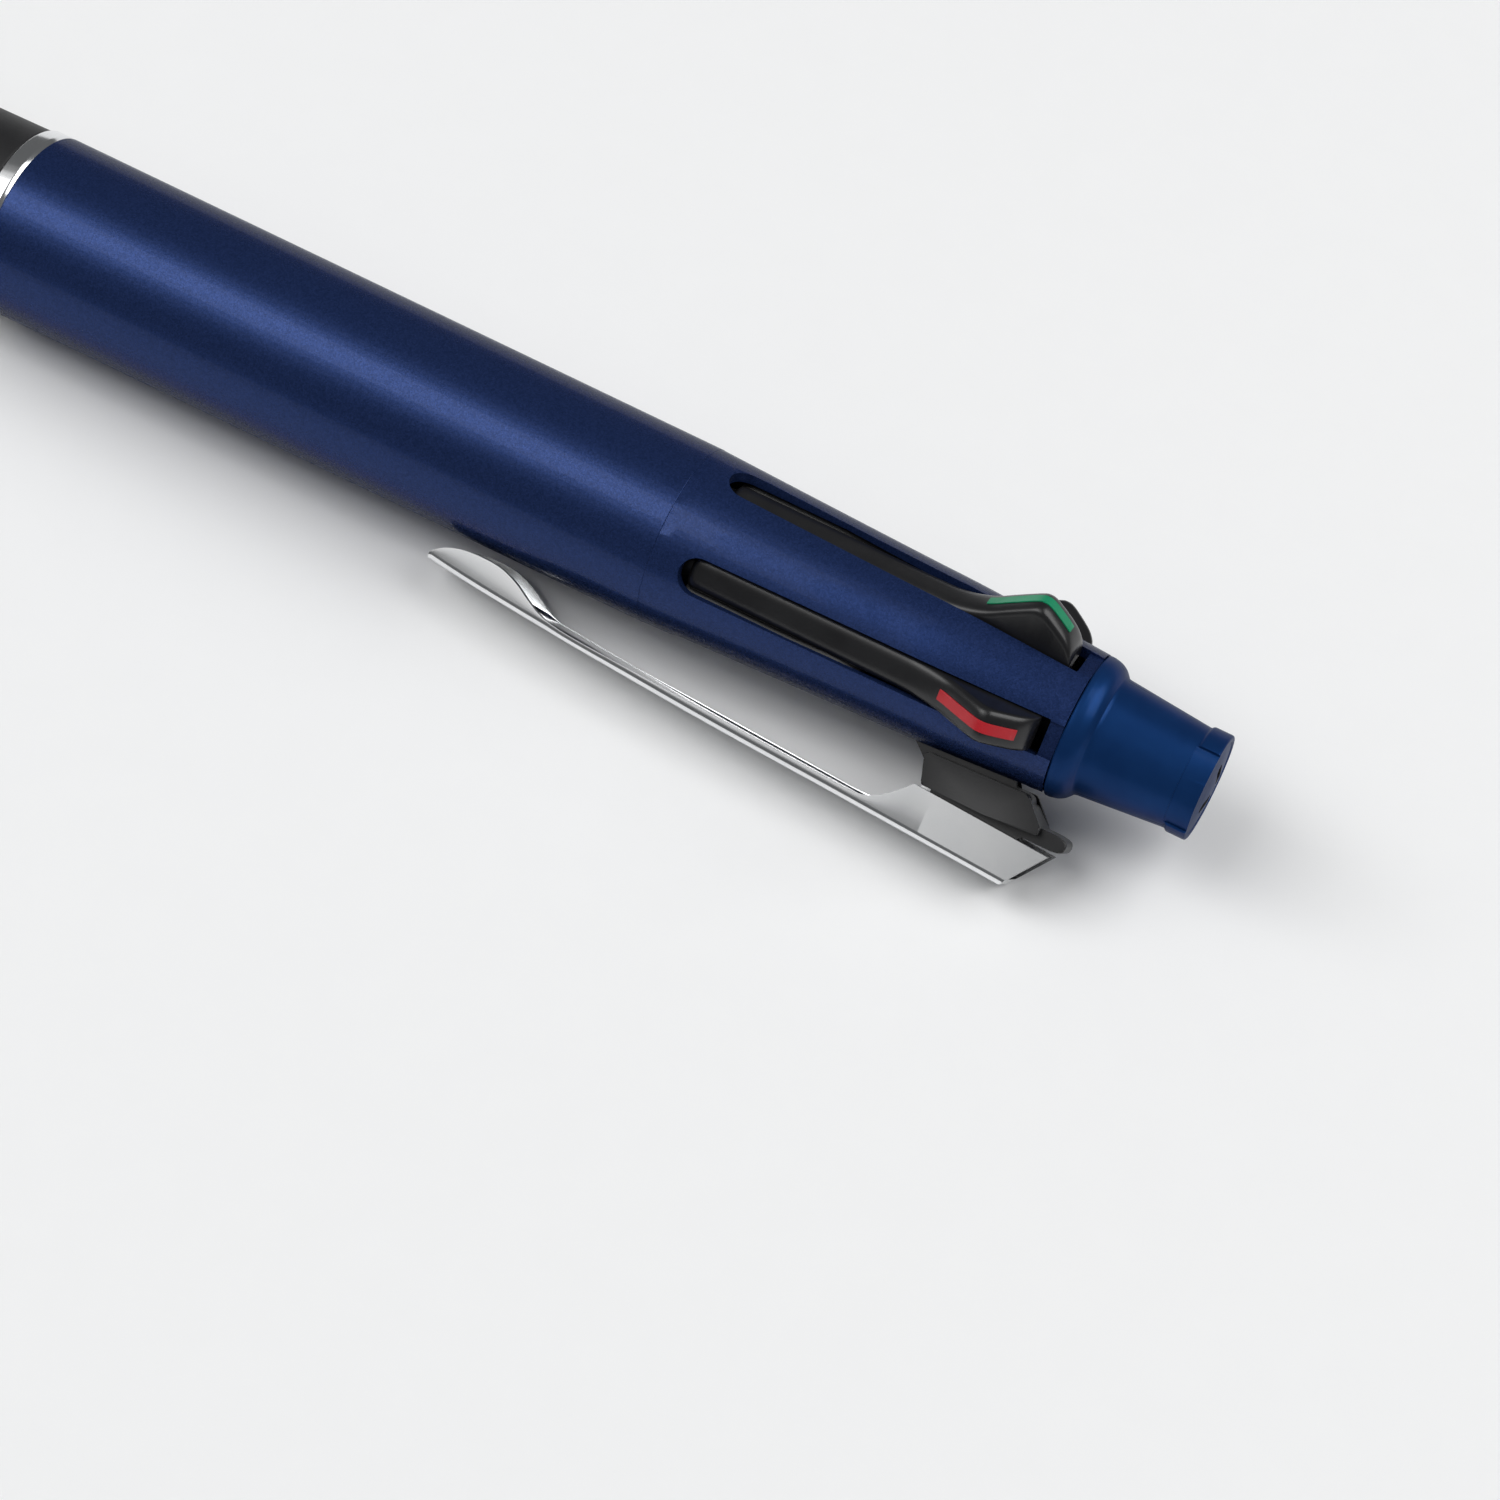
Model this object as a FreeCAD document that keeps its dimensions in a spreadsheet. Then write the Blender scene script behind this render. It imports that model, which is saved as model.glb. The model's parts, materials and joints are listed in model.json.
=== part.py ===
"""Multicolor click pen: four ink levers, one pencil lever with a sprung clip, grip section and cap."""
import FreeCAD, Part
import Sketcher
import os
import re

# Driving dimensions in millimetres and degrees. Stations are distances from the writing tip.
DIMENSIONS = {
    "PenLength": 149.8,
    # front section
    "NoseHoleRad": 1.25, "NoseHoleEnd": 0.8, "NoseRad": 1.6, "NosePower": 2.2,
    "ConeEnd": 19.0, "ConeEndRad": 6.0, "ConeBoreStart": 14.0,
    "ConeSpigotEnd": 25.0, "ConeSpigotRad": 5.35, "ConeBoreRad": 4.85, "ConeWall": 0.9,
    "SleeveRad": 5.9, "SleeveBoreRad": 5.05, "SleeveSocketRad": 5.37, "SleeveEnd": 62.0,
    "GripStart": 19.2, "GripNoseRad": 6.1, "GripFrontAt": 21.5, "GripFrontRad": 6.3,
    "GripMidAt": 38.0, "GripMidRad": 6.45, "GripEnd": 54.65, "GripEndRad": 6.68,
    "GripRound": 0.25, "RingStart": 54.7, "RingEnd": 56.1, "RingRad": 6.85, "RingChamfer": 0.3,
    "FitGap": 0.05, "PressGap": 0.02, "CutClear": 1.0,
    # barrels
    "BarrelStart": 56.15, "BarrelRad": 6.85, "BarrelEnd": 109.3, "BarrelEndRad": 6.6,
    "SpigotSocketEnd": 64.0, "SpigotSocketRad": 5.98, "BarrelBoreRad": 5.72,
    "OverlapStart": 103.2, "OverlapRad": 6.08,
    "UpperStartRad": 6.5, "UpperFrontAt": 117.3, "UpperFrontRad": 6.27,
    "UpperMidAt": 125.3, "UpperMidRad": 5.98, "UpperBackAt": 131.1, "UpperBackRad": 5.785,
    "UpperEnd": 139.8, "UpperEndRad": 5.25, "UpperBoreBend": 120.0,
    "UpperBoreEndRad": 4.5, "RearWallAt": 138.8, "PlugHoleRad": 2.6,
    "SlotCount": 5, "SlotWidth": 2.8, "SlotFront": 111.5, "SlotRear": 138.8,
    # spring guide and core
    "GuideStart": 76.0, "GuideEnd": 80.0, "GuideRad": 5.68, "GuideHoleRad": 1.6,
    "CoreStart": 112.0, "CoreRad": 1.4, "CoreEnd": 137.15, "FinStart": 116.0, "FinRad": 4.0,
    "FinThick": 0.4,
    # levers
    "LeverWidth": 2.5, "LeverInnerRad": 2.6, "StemFront": 112.0, "StemRad": 5.45,
    "LeverRear": 137.6, "RampStart": 128.6, "RampInlayAt": 131.1, "RampInlayRad": 6.15,
    "PeakFrontAt": 134.5, "PeakAt": 135.4, "PeakRad": 8.4, "InlayRearAt": 137.2,
    "InlayRearRad": 7.05, "ThumbRear": 138.1, "ThumbRearRad": 5.6, "InlayWidth": 0.8,
    "InlayDepth": 0.45,
    # refills
    "RefillOffset": 3.3, "SocketFront": 104.0, "SocketLength": 10.5, "SocketRad": 1.75,
    "SocketDepth": 7.0, "SocketHoleRad": 1.43, "PointTip": 9.5, "BallRad": 0.35,
    "PointShoulder": 17.5, "PointRad": 1.15, "PointShank": 21.5, "ShankRad": 0.94,
    "TubeEnd": 110.8, "TubeRad": 1.4, "TubeBoreRad": 0.95,
    "LeadRad": 0.25, "LeadTip": 9.0, "LeadEnd": 60.0, "LeadBoreRad": 0.3, "PencilSleeve": 3.0,
    "SleeveTipRad": 0.5,
    # return springs
    "SpringRad": 1.72, "SpringBoreRad": 1.5, "SpringStart": 80.05, "SpringEnd": 103.95,
    # clip carrier
    "BlockWidth": 4.8, "BlockFront": 131.6, "BlockFrontRad": 6.4, "BlockTopFront": 132.2,
    "BlockTopRad": 8.1, "BlockTopBend": 137.0, "BlockRear": 140.9, "BlockRearTopRad": 7.8,
    "BlockRearRad": 7.3, "BlockHeelAt": 139.6, "BlockHeelRad": 6.2,
    "TongueWidth": 3.2, "TongueFront": 132.6, "TongueTopRad": 10.2,
    "TongueRear": 139.0, "TailLowRad": 7.3, "TailTopRad": 8.45, "TailAt": 142.6,
    "TailEnd": 143.3, "TailMidRad": 7.9, "NeckRad": 7.0, "ShelfEnd": 139.3, "ShelfRad": 5.65,
    "NeckStep": 0.3, "TailOverlap": 0.5,
    # clip
    "ClipWidth": 4.8, "ClipWall": 0.6, "ClipTip": 93.6, "ClipTipRad": 9.05,
    "ClipMidAt": 116.0, "ClipMidRad": 10.8, "ClipBackAt": 128.0, "ClipBackRad": 11.4,
    "ClipHeel": 139.9, "ClipHeelRad": 12.0, "ClipToe": 142.2, "ClipToeRad": 8.85,
    "LeafFrontAt": 94.8, "LeafFrontRad": 7.85, "LeafLowAt": 97.1, "LeafLowRad": 7.3,
    "LeafRearAt": 99.6, "LeafRearRad": 7.5, "LeafRiseAt": 101.7, "LeafRiseRad": 8.46,
    "LeafEndAt": 103.6, "LeafEndRad": 9.0, "RailMidRad": 9.9, "RailEndAt": 128.6,
    "RailEndRad": 10.55, "SweepAt": 130.2, "SweepRad": 9.9, "SweepLowAt": 131.1,
    "SweepLowRad": 9.05, "SkirtFront": 131.8, "SkirtRad": 8.3,
    "PivotAt": 137.0, "PivotRad": 9.4, "PinRad": 0.75, "PinHoleRad": 0.8,
    "PinLength": 4.1, "PinSeatGap": 0.01, "ClipRound": 0.5, "BackAboveRail": 0.4,
    "TipWall": 1.0, "TipRoofRad": 8.53, "MouthRad": 5.3,
    "LeafSpringWidth": 2.4, "LeafSpringThick": 0.2, "LeafSpringFoot": 1.0,
    # cap, eraser and holder
    "CapStart": 139.85, "CapStartRad": 5.22, "CapBrowAt": 140.7, "CapBrowRad": 5.1,
    "CapShoulderAt": 141.3, "CapShoulderRad": 4.75, "CapTaperAt": 141.75, "CapTaperRad": 4.33,
    "CapRimAt": 148.26, "CapNeckRad": 3.73, "CapRimRad": 3.9, "CapRound": 0.3,
    "CapBoreRad": 3.55, "CapBoreEnd": 144.2, "CapInnerRad": 2.95, "CapInnerEnd": 148.75,
    "CapDishRad": 3.3, "CapDishDepth": 0.25, "VentOffset": 1.1, "VentShift": 0.4,
    "VentHalfRun": 0.55, "VentHalfRise": 0.34, "VentHalfWidth": 0.25,
    "HolderRad": 3.5, "HolderEnd": 143.4, "HolderCupRad": 2.65, "HolderFloor": 140.8, "PlugRad": 2.55,
    "EraserRad": 2.6, "EraserEnd": 148.4, "EraserStart": 140.85,
    # resting pose
    "ClipDown": 34.09, "NoseDown": 1.074, "AxisHeight": 7.30, "SideShift": 1.33,
}

COLOURS = ["red", "green", "blue", "black"]

doc = FreeCAD.newDocument("ClickPen")
sheet = doc.addObject("Spreadsheet::Sheet", "Sizes")
for row, (alias, number) in enumerate(DIMENSIONS.items(), start=1):
    sheet.set(f"A{row}", alias)
    sheet.set(f"B{row}", str(number))
    sheet.setAlias(f"B{row}", alias)
doc.recompute()

D = DIMENSIONS
built = []


def bind(text):
    """Turn sheet names in a formula into full references."""
    return re.sub(r"[A-Za-z]\w*", lambda word: "Sizes." + word.group(0), text)


def value(text):
    """Number that a formula of sheet names gives."""
    return float(sheet.evalExpression(bind(text)))


def pen_placement(slot=0, lift=0.0):
    """Placement of a piece at one slot, at a radial offset, on the resting pen."""
    step = 360.0 / D["SlotCount"]
    axis_x = FreeCAD.Vector(1, 0, 0)
    rolled = FreeCAD.Rotation(axis_x, 90.0 + D["ClipDown"] - step * slot)
    pitched = FreeCAD.Rotation(FreeCAD.Vector(0, 1, 0), -D["NoseDown"])
    middle = FreeCAD.Placement(FreeCAD.Vector(-D["PenLength"] / 2, 0, 0), FreeCAD.Rotation())
    offset = FreeCAD.Placement(FreeCAD.Vector(0, 0, lift), FreeCAD.Rotation())
    turned = FreeCAD.Placement(
        FreeCAD.Vector(0, D["SideShift"], D["AxisHeight"]), pitched)
    return turned * middle * FreeCAD.Placement(FreeCAD.Vector(), rolled) * offset


def new_body(label, slot=0, lift=0.0):
    body = doc.addObject("PartDesign::Body", label)
    body.Label = label
    body.Placement = pen_placement(slot, lift)
    built.append(body)
    return body


def plane_of(body, role):
    for feature in body.Origin.OriginFeatures:
        if feature.Role == role:
            return feature
    raise ValueError(role)


def new_sketch(body, role, station=None):
    sketch = body.newObject("Sketcher::SketchObject", body.Label + "_sketch")
    sketch.AttachmentSupport = (plane_of(body, role), [""])
    sketch.MapMode = "FlatFace"
    if station:
        sketch.AttachmentOffset = FreeCAD.Placement(
            FreeCAD.Vector(0, 0, value(station)), FreeCAD.Rotation())
        sketch.setExpression("AttachmentOffset.Base.z", bind(station))
    return sketch


def pin_coordinate(sketch, kind, geometry, point, text):
    """Hold one coordinate of a sketch point to a formula."""
    index = sketch.addConstraint(
        Sketcher.Constraint(kind, -1, 1, geometry, point, value(text)))
    sketch.setExpression(f"Constraints[{index}]", bind(text))


def outline(sketch, points):
    """Closed polygon whose corners follow the sheet."""
    places = [FreeCAD.Vector(value(x), value(y), 0) for x, y in points]
    first = sketch.GeometryCount
    for here, there in zip(places, places[1:] + places[:1]):
        sketch.addGeometry(Part.LineSegment(here, there), False)
    count = len(points)
    for i, (x, y) in enumerate(points):
        before = first + (i - 1) % count
        sketch.addConstraint(Sketcher.Constraint("Coincident", before, 2, first + i, 1))
        pin_coordinate(sketch, "DistanceX", first + i, 1, x)
        pin_coordinate(sketch, "DistanceY", first + i, 1, y)


def disc(sketch, x, y, radius):
    centre = FreeCAD.Vector(value(x), value(y), 0)
    index = sketch.GeometryCount
    sketch.addGeometry(Part.Circle(centre, FreeCAD.Vector(0, 0, 1), value(radius)), False)
    pin_coordinate(sketch, "DistanceX", index, 3, x)
    pin_coordinate(sketch, "DistanceY", index, 3, y)
    number = sketch.addConstraint(Sketcher.Constraint("Radius", index, value(radius)))
    sketch.setExpression(f"Constraints[{number}]", bind(radius))


def finish_feature(body, feature):
    body.Tip = feature
    doc.recompute()
    return feature


def drive(feature, name, text):
    """Set a property of a feature and tie it to the sheet."""
    setattr(feature, name, value(text))
    feature.setExpression(name, bind(text))


def revolve(body, points):
    """Turn a half profile of (station, radius) corners about the body's X axis."""
    sketch = new_sketch(body, "XZ_Plane")
    outline(sketch, points)
    turned = body.newObject("PartDesign::Revolution", body.Label + "_turned")
    turned.Profile = (sketch, [""])
    turned.ReferenceAxis = (sketch, ["H_Axis"])
    turned.Angle = 360.0
    return finish_feature(body, turned)


def extrude(body, kind, sketch, length, side="One side", reverse=False):
    """Pad or pocket a sketch by a length that the sheet gives."""
    feature = body.newObject("PartDesign::" + kind, f"{body.Label}_{kind.lower()}")
    feature.Profile = (sketch, [""])
    feature.SideType = side
    feature.Reversed = reverse
    drive(feature, "Length", length)
    return finish_feature(body, feature)


def side_profile(body, kind, points, width):
    """Pad or pocket a side profile evenly to both sides of the pen's middle plane."""
    sketch = new_sketch(body, "XZ_Plane")
    outline(sketch, points)
    return extrude(body, kind, sketch, width, "Symmetric")


def side_disc(body, kind, x, y, radius, width):
    """Round pin or hole across the piece, even to both sides."""
    sketch = new_sketch(body, "XZ_Plane")
    disc(sketch, x, y, radius)
    return extrude(body, kind, sketch, width, "Symmetric")


def end_disc(body, kind, station, radius, length):
    """Round peg or bore at the refill offset, from a station toward the cap."""
    sketch = new_sketch(body, "YZ_Plane", station)
    disc(sketch, "0", "RefillOffset", radius)
    return extrude(body, kind, sketch, length, reverse=kind == "Pocket")


def repeat_round_axis(body, feature):
    """Repeat a feature at every slot round the pen's axis."""
    pattern = body.newObject("PartDesign::PolarPattern", body.Label + "_round")
    pattern.Originals = [feature]
    pattern.Axis = (plane_of(body, "X_Axis"), [""])
    pattern.Angle = 360.0
    pattern.Occurrences = D["SlotCount"]
    pattern.setExpression("Occurrences", bind("SlotCount"))
    return finish_feature(body, pattern)


def soften(body, radius, chosen):
    """Fillet the edges that the test picks."""
    base = body.Tip
    names = [f"Edge{i}" for i, edge in enumerate(base.Shape.Edges, start=1) if chosen(edge)]
    rounding = body.newObject("PartDesign::Fillet", body.Label + "_soft")
    rounding.Base = (base, names)
    drive(rounding, "Radius", radius)
    return finish_feature(body, rounding)


# ---------------------------------------------------------------- front section
def nose_point(share, wall="0"):
    """Corner of the nose's curve at a share of the cone's length, less a wall."""
    curve = f"(ConeEndRad - NoseRad) * (1 - (1 - {share}) ^ NosePower)"
    return f"ConeEnd * {share}", f"NoseRad + {curve} - {wall}"


nose_outside = [nose_point(step / 10) for step in range(11)]
nose_inside = [nose_point(step / 10, "ConeWall") for step in range(7, 0, -1)]
revolve(new_body("tip_cone"), [("0", "NoseHoleRad")] + nose_outside + [
    ("ConeEnd", "ConeSpigotRad"), ("ConeSpigotEnd", "ConeSpigotRad"),
    ("ConeSpigotEnd", "ConeBoreRad"), ("ConeBoreStart", "ConeBoreRad")]
    + nose_inside + [("NoseHoleEnd", "NoseHoleRad")])

revolve(new_body("front_sleeve"), [
    ("ConeEnd + FitGap", "SleeveSocketRad"), ("ConeEnd + FitGap", "SleeveRad"),
    ("SleeveEnd", "SleeveRad"), ("SleeveEnd", "SleeveBoreRad"),
    ("ConeSpigotEnd + FitGap", "SleeveBoreRad"), ("ConeSpigotEnd + FitGap", "SleeveSocketRad")])

grip = new_body("rubber_grip")
revolve(grip, [
    ("GripStart", "SleeveRad + FitGap"), ("GripStart", "GripNoseRad"),
    ("GripFrontAt", "GripFrontRad"), ("GripMidAt", "GripMidRad"),
    ("GripEnd - GripRound", "GripEndRad"), ("GripEnd", "GripEndRad - GripRound"),
    ("GripEnd", "SleeveRad + FitGap")])

revolve(new_body("joint_ring"), [
    ("RingStart", "SleeveRad + PressGap"), ("RingStart", "RingRad"),
    ("RingEnd - RingChamfer", "RingRad"), ("RingEnd", "RingRad - RingChamfer / 2"),
    ("RingEnd", "SleeveRad + PressGap")])

# ---------------------------------------------------------------- barrels
revolve(new_body("main_barrel"), [
    ("BarrelStart", "SpigotSocketRad"), ("BarrelStart", "BarrelRad"),
    ("BarrelEnd", "BarrelEndRad"), ("BarrelEnd", "OverlapRad + PressGap"),
    ("OverlapStart - FitGap", "OverlapRad + PressGap"), ("OverlapStart - FitGap", "BarrelBoreRad"),
    ("SpigotSocketEnd", "BarrelBoreRad"), ("SpigotSocketEnd", "SpigotSocketRad")])

upper = new_body("slotted_barrel")
revolve(upper, [
    ("OverlapStart", "BarrelBoreRad"), ("OverlapStart", "OverlapRad"),
    ("BarrelEnd", "OverlapRad"), ("BarrelEnd", "UpperStartRad"),
    ("UpperFrontAt", "UpperFrontRad"), ("UpperMidAt", "UpperMidRad"),
    ("UpperBackAt", "UpperBackRad"), ("UpperEnd", "UpperEndRad"), ("UpperEnd", "PlugHoleRad"),
    ("RearWallAt", "PlugHoleRad"), ("RearWallAt", "UpperBoreEndRad"),
    ("UpperBoreBend", "BarrelBoreRad")])
slot_sketch = new_sketch(upper, "XY_Plane")
outline(slot_sketch, [
    ("SlotFront", "SlotWidth / 5"), ("SlotFront + SlotWidth / 5", "SlotWidth / 2"),
    ("SlotRear", "SlotWidth / 2"), ("SlotRear", "-SlotWidth / 2"),
    ("SlotFront + SlotWidth / 5", "-SlotWidth / 2"), ("SlotFront", "-SlotWidth / 5")])
repeat_round_axis(upper, extrude(upper, "Pocket", slot_sketch, "BarrelRad + CutClear",
                                 reverse=True))

# ---------------------------------------------------------------- inner frame
guide = new_body("spring_guide")
revolve(guide, [("GuideStart", "0"), ("GuideStart", "GuideRad"), ("GuideEnd", "GuideRad"),
                ("GuideEnd", "0")])
repeat_round_axis(guide, end_disc(guide, "Pocket", "GuideStart", "GuideHoleRad",
                                  "GuideEnd - GuideStart"))

core = new_body("lever_core")
revolve(core, [("CoreStart", "0"), ("CoreStart", "CoreRad"), ("CoreEnd", "CoreRad"),
               ("CoreEnd", "0")])
repeat_round_axis(core, side_profile(core, "Pad", [
    ("FinStart", "-FinRad"), ("CoreEnd", "-FinRad"), ("CoreEnd", "-CoreRad / 2"),
    ("FinStart", "-CoreRad / 2")], "FinThick"))

# ---------------------------------------------------------------- levers with their refills
INLAY_BAND = [
    ("RampInlayAt", "RampInlayRad"), ("PeakFrontAt", "PeakRad"), ("PeakAt", "PeakRad"),
    ("InlayRearAt", "InlayRearRad"), ("InlayRearAt - InlayDepth", "InlayRearRad"),
    ("PeakAt - InlayDepth / 2", "PeakRad - InlayDepth"),
    ("PeakFrontAt + InlayDepth / 2", "PeakRad - InlayDepth"),
    ("RampInlayAt + InlayDepth", "RampInlayRad - InlayDepth / 4")]


def refill_socket(body):
    end_disc(body, "Pad", "SocketFront", "SocketRad", "SocketLength")
    end_disc(body, "Pocket", "SocketFront", "SocketHoleRad", "SocketDepth")


def refill_tube(label, slot):
    revolve(new_body(label, slot, D["RefillOffset"]), [
        ("PointShoulder", "TubeBoreRad"), ("PointShoulder", "TubeRad"), ("TubeEnd", "TubeRad"),
        ("TubeEnd", "TubeBoreRad")])


for number, colour in enumerate(COLOURS, start=1):
    lever = new_body("lever_" + colour, number)
    side_profile(lever, "Pad", [
        ("StemFront", "LeverInnerRad"), ("StemFront", "StemRad"), ("RampStart", "StemRad"),
        ("RampInlayAt", "RampInlayRad"), ("PeakFrontAt", "PeakRad"), ("PeakAt", "PeakRad"),
        ("InlayRearAt", "InlayRearRad"), ("ThumbRear", "ThumbRearRad"),
        ("LeverRear", "LeverInnerRad")], "LeverWidth")
    side_profile(lever, "Pocket", INLAY_BAND, "InlayWidth")
    refill_socket(lever)
    inlay = new_body("inlay_" + colour, number)
    side_profile(inlay, "Pad", INLAY_BAND, "InlayWidth - 2 * PressGap")
    refill_tube("refill_tube_" + colour, number)
    revolve(new_body("refill_point_" + colour, number, D["RefillOffset"]), [
        ("PointTip", "0"), ("PointTip", "BallRad"), ("PointShoulder - FitGap", "PointRad"),
        ("PointShoulder - FitGap", "ShankRad"), ("PointShank", "ShankRad"), ("PointShank", "0")])

refill_tube("pencil_tube", 0)
revolve(new_body("pencil_tip", 0, D["RefillOffset"]), [
    ("PointTip", "LeadBoreRad"), ("PointTip", "SleeveTipRad"),
    ("PointTip + PencilSleeve", "SleeveTipRad"), ("PointTip + PencilSleeve * 2", "PointRad"),
    ("PointShoulder - FitGap", "PointRad"),
    ("PointShoulder - FitGap", "ShankRad"), ("PointShank", "ShankRad"),
    ("PointShank", "LeadBoreRad")])
revolve(new_body("pencil_lead", 0, D["RefillOffset"]), [
    ("LeadTip", "0"), ("LeadTip", "LeadRad"), ("LeadEnd", "LeadRad"), ("LeadEnd", "0")])

for number, name in enumerate(["pencil"] + COLOURS):
    revolve(new_body("spring_" + name, number, D["RefillOffset"]), [
        ("SpringStart", "SpringBoreRad"), ("SpringStart", "SpringRad"),
        ("SpringEnd", "SpringRad"), ("SpringEnd", "SpringBoreRad")])

# ---------------------------------------------------------------- clip carrier and clip
carrier = new_body("clip_carrier")
side_profile(carrier, "Pad", [
    ("StemFront", "LeverInnerRad"), ("StemFront", "StemRad"), ("RampStart", "StemRad"),
    ("BlockFront + NeckStep", "NeckRad"), ("ShelfEnd", "NeckRad"), ("ShelfEnd", "ShelfRad"),
    ("LeverRear", "ShelfRad"), ("LeverRear", "LeverInnerRad")],
    "LeverWidth")
side_profile(carrier, "Pad", [
    ("BlockFront", "BlockFrontRad"), ("BlockTopFront", "BlockTopRad"),
    ("BlockTopBend", "BlockTopRad"), ("BlockRear", "BlockRearTopRad"),
    ("BlockRear", "BlockRearRad"), ("BlockHeelAt", "BlockHeelRad")], "BlockWidth")
side_profile(carrier, "Pad", [
    ("TongueFront", "NeckRad"), ("TongueFront", "TongueTopRad"), ("TongueRear", "TongueTopRad"),
    ("TongueRear", "TailTopRad"), ("TailAt", "TailTopRad"), ("TailEnd", "TailMidRad"),
    ("TailAt", "TailLowRad"), ("BlockRear - TailOverlap", "TailLowRad"),
    ("BlockRear - TailOverlap", "NeckRad")],
    "TongueWidth")
side_disc(carrier, "Pocket", "PivotAt", "PivotRad", "PinRad + PinSeatGap", "BlockWidth + CutClear")
refill_socket(carrier)


def on_clip_back(edge):
    """Long edges of the clip's back, which stand above the line of its rail."""
    middle = edge.CenterOfMass
    slope = value("(RailEndRad - RailMidRad) / (RailEndAt - ClipMidAt)")
    rail = value("RailMidRad") + slope * (middle.x - value("ClipMidAt"))
    runs_along = edge.BoundBox.XLength > value("ClipWidth") and edge.BoundBox.YLength < 1e-6
    return runs_along and middle.z > rail + value("BackAboveRail")


clip = new_body("clip")
side_profile(clip, "Pad", [
    ("ClipTip", "ClipTipRad"), ("ClipMidAt", "ClipMidRad"), ("ClipBackAt", "ClipBackRad"),
    ("ClipHeel", "ClipHeelRad"), ("ClipToe", "ClipToeRad"), ("SkirtFront", "SkirtRad"),
    ("SweepLowAt", "SweepLowRad"), ("SweepAt", "SweepRad"), ("RailEndAt", "RailEndRad"),
    ("ClipMidAt", "RailMidRad"), ("LeafEndAt", "LeafEndRad"), ("LeafRiseAt", "LeafRiseRad"),
    ("LeafRearAt", "LeafRearRad"), ("LeafLowAt", "LeafLowRad"), ("LeafFrontAt", "LeafFrontRad")],
    "ClipWidth")
soften(clip, "ClipRound", on_clip_back)
side_profile(clip, "Pocket", [
    ("ClipTip + TipWall", "MouthRad"), ("ClipTip + TipWall", "TipRoofRad"),
    ("ClipMidAt", "ClipMidRad - ClipWall"), ("ClipBackAt", "ClipBackRad - ClipWall"),
    ("ClipHeel", "ClipHeelRad - ClipWall"), ("ClipToe + CutClear", "ClipHeelRad - ClipWall"),
    ("ClipToe + CutClear", "MouthRad")], "ClipWidth - 2 * ClipWall")
side_disc(clip, "Pocket", "PivotAt", "PivotRad", "PinHoleRad", "PinLength + 2 * FitGap")

side_disc(new_body("clip_pin"), "Pad", "PivotAt", "PivotRad", "PinRad", "PinLength")

side_profile(new_body("clip_spring"), "Pad", [
    ("TongueFront", "TongueTopRad + FitGap"), ("TongueRear", "TongueTopRad + FitGap"),
    ("TongueRear", "TongueTopRad + FitGap + LeafSpringThick"),
    ("TongueFront + LeafSpringFoot", "TongueTopRad + FitGap + LeafSpringThick"),
    ("TongueFront", "TongueTopRad + FitGap + LeafSpringThick * 2")], "LeafSpringWidth")

# ---------------------------------------------------------------- cap and eraser
revolve(new_body("eraser_holder"), [
    ("CoreEnd + FitGap", "0"), ("CoreEnd + FitGap", "PlugRad"), ("UpperEnd", "PlugRad"),
    ("UpperEnd", "HolderRad"), ("HolderEnd", "HolderRad"), ("HolderEnd", "HolderCupRad"),
    ("HolderFloor", "HolderCupRad"), ("HolderFloor", "0")])
revolve(new_body("eraser"), [
    ("EraserStart", "0"), ("EraserStart", "EraserRad"), ("EraserEnd - CapRound", "EraserRad"),
    ("EraserEnd", "EraserRad - CapRound"), ("EraserEnd", "0")])

cap = new_body("end_cap")
revolve(cap, [
    ("CapStart", "CapBoreRad"), ("CapStart", "CapStartRad"), ("CapBrowAt", "CapBrowRad"),
    ("CapShoulderAt", "CapShoulderRad"), ("CapTaperAt", "CapTaperRad"),
    ("CapRimAt", "CapNeckRad"), ("CapRimAt", "CapRimRad"),
    ("PenLength - CapRound", "CapRimRad"), ("PenLength", "CapRimRad - CapRound"),
    ("PenLength", "CapDishRad"), ("PenLength - CapDishDepth", "CapDishRad - CapDishDepth"),
    ("PenLength - CapDishDepth", "0"), ("CapInnerEnd", "0"), ("CapInnerEnd", "CapInnerRad"),
    ("CapBoreEnd", "CapInnerRad"), ("CapBoreEnd", "CapBoreRad")])
vent_sketch = new_sketch(cap, "YZ_Plane", "CapInnerEnd - CutClear")
for side in ("", "-"):
    left, right = "-VentShift - VentHalfRun", "-VentShift + VentHalfRun"
    low = f"{side}VentOffset - ({side}VentHalfRise)"
    high = f"{side}VentOffset + ({side}VentHalfRise)"
    outline(vent_sketch, [
        (left, f"{low} - VentHalfWidth"), (right, f"{high} - VentHalfWidth"),
        (right, f"{high} + VentHalfWidth"), (left, f"{low} + VentHalfWidth")])
extrude(cap, "Pocket", vent_sketch, "PenLength - CapInnerEnd + 2 * CutClear", reverse=True)

# ---------------------------------------------------------------- check and export
doc.recompute()
for item in doc.Objects:
    if "Invalid" in item.State or "Error" in item.State:
        raise RuntimeError(f"{item.Label} is {item.State}")
os.makedirs("parts", exist_ok=True)
for body in built:
    shape = body.Shape
    if shape.isNull() or not shape.isValid() or not shape.Solids:
        raise RuntimeError(f"{body.Label} has no valid solid")
    shape.exportStep(f"parts/{body.Label}.step")
    box = shape.BoundBox
    print(f"{body.Label:22s} solids {len(shape.Solids)} volume {shape.Volume:9.2f} "
          f"y {box.YMin:7.2f}..{box.YMax:6.2f} z {box.ZMin:7.2f}..{box.ZMax:6.2f}")
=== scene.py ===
import json
import math
import bmesh
import bpy
from mathutils import Matrix, Vector


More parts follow.
